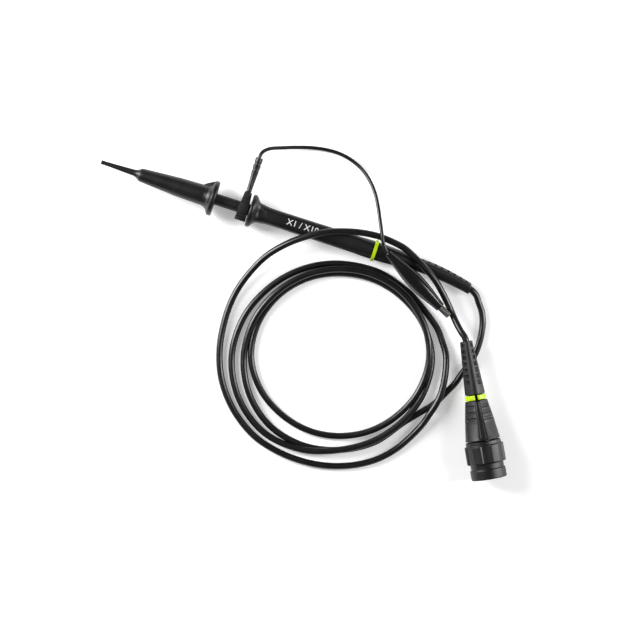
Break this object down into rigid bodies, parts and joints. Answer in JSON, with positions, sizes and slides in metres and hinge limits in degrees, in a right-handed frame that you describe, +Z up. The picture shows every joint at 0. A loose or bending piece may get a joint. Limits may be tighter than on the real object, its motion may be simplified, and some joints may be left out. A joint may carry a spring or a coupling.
{
  "type": "oscilloscope probe",
  "caption": "Passive oscilloscope probe with a spring-hook tip, ground lead with alligator clip, coiled coaxial cable and a BNC plug with a compensation box.",
  "frame": {"origin": "on the table plane, below the middle of the probe without its cable, ground lead and BNC end", "axes": "+X along the probe from the hook tip to its cable end, +Z up from the table"},
  "size_m": [0.2294, 0.1485, 0.0187],
  "materials": {
    "matte_black_abs": "matte",
    "satin_black_pvc": "satin",
    "gloss_black_pvc": "gloss",
    "soft_black_tpe": "matte",
    "marker_plastic": "satin",
    "nickel_plate": "satin",
    "spring_steel": "polished",
    "gold_plate": "polished",
    "ptfe": "satin",
    "board_laminate": "satin",
    "ceramic_body": "matte",
    "silicone_rubber": "matte"
  },
  "bodies": {
    "probe_and_cable": {"probe_needle": "gold_plate", "tip_insulator": "ptfe", "ground_ring": "nickel_plate", "front_barrel": "matte_black_abs", "handle_shell": "matte_black_abs", "attenuator_board": "board_laminate", "input_resistor": "ceramic_body", "compensation_capacitor": "ceramic_body", "switch_housing": "matte_black_abs", "marker_ring_probe": "marker_plastic", "probe_strain_relief": "soft_black_tpe", "cable_ferrule": "nickel_plate", "clip_fixed_jaw": "nickel_plate", "clip_pivot_pin": "spring_steel", "clip_spring": "spring_steel", "clip_boot": "gloss_black_pvc", "bnc_strain_relief": "soft_black_tpe", "marker_ring_bnc": "marker_plastic", "comp_box_shell": "matte_black_abs", "comp_board": "board_laminate", "trimmer_body": "ceramic_body", "bnc_inner_shell": "nickel_plate", "bnc_insulator": "ptfe", "bnc_centre_pin": "gold_plate", "bnc_gasket": "silicone_rubber", "bnc_wave_washer": "spring_steel", "bnc_retaining_ring": "spring_steel", "ground_wire": "satin_black_pvc", "cable_lead_out": "satin_black_pvc", "cable_coil": "satin_black_pvc", "cable_outer_loop": "satin_black_pvc"},
    "hook_contact": {"hook_contact_socket": "gold_plate"},
    "hook_carrier": {"hook_core": "matte_black_abs", "hook_wire": "spring_steel", "hook_spring": "spring_steel"},
    "hook_sleeve_body": {"hook_sleeve": "matte_black_abs"},
    "switch_slide_body": {"switch_slider": "matte_black_abs"},
    "ground_swivel_body": {"ground_collar": "matte_black_abs", "ground_collar_contact": "nickel_plate", "ground_lead_boot": "soft_black_tpe"},
    "clip_jaw_body": {"clip_moving_jaw": "nickel_plate", "clip_boot_flap": "gloss_black_pvc"},
    "trimmer_screw": {"trimmer_rotor": "nickel_plate"},
    "bnc_thrust": {"bnc_thrust_washer": "nickel_plate"},
    "bnc_coupling": {"bnc_coupling_sleeve": "nickel_plate", "bnc_grip": "matte_black_abs"}
  },
  "joints": [
    {"name": "hook_pull_off", "type": "slide", "parent": "probe_and_cable", "child": "hook_contact", "axis": [-0.9991, 0, 0.0431], "range_m": [0, 0.045]},
    {"name": "hook_turn", "type": "hinge", "parent": "hook_contact", "child": "hook_carrier", "pos_m": [-0.05994, 0, 0.00981], "axis": [0.9991, 0, -0.0431], "continuous": true},
    {"name": "hook_retract", "type": "slide", "parent": "hook_carrier", "child": "hook_sleeve_body", "axis": [0.9991, 0, -0.0431], "range_m": [0, 0.007], "stiffness_N_per_m": 150, "springref_m": -0.008, "deforming": ["hook_spring"]},
    {"name": "switch_slide", "type": "slide", "parent": "probe_and_cable", "child": "switch_slide_body", "axis": [0.9991, 0, -0.0431], "range_m": [0, 0.003]},
    {"name": "ground_swivel", "type": "hinge", "parent": "probe_and_cable", "child": "ground_swivel_body", "pos_m": [-0.02198, 0, 0.00817], "axis": [0.9991, 0, -0.0431], "range_deg": [-10, 95]},
    {"name": "clip_jaw", "type": "hinge", "parent": "probe_and_cable", "child": "clip_jaw_body", "pos_m": [0.06853, -0.00929, 0.01051], "axis": [-0.4276, -0.7008, -0.571], "range_deg": [0, 18], "stiffness_Nm_per_rad": 0.02, "springref_deg": -28.65},
    {"name": "trimmer_turn", "type": "hinge", "parent": "probe_and_cable", "child": "trimmer_screw", "pos_m": [0.11572, -0.06116, 0.00575], "axis": [0, 0, -1], "continuous": true},
    {"name": "bnc_float", "type": "slide", "parent": "probe_and_cable", "child": "bnc_thrust", "axis": [0.4618, -0.887, 0], "range_m": [0, 0.0008], "stiffness_N_per_m": 1500, "springref_m": -0.0006},
    {"name": "bnc_spin", "type": "hinge", "parent": "bnc_thrust", "child": "bnc_coupling", "pos_m": [0.1238, -0.07669, 0.00935], "axis": [0.4618, -0.887, 0], "continuous": true}
  ]
}
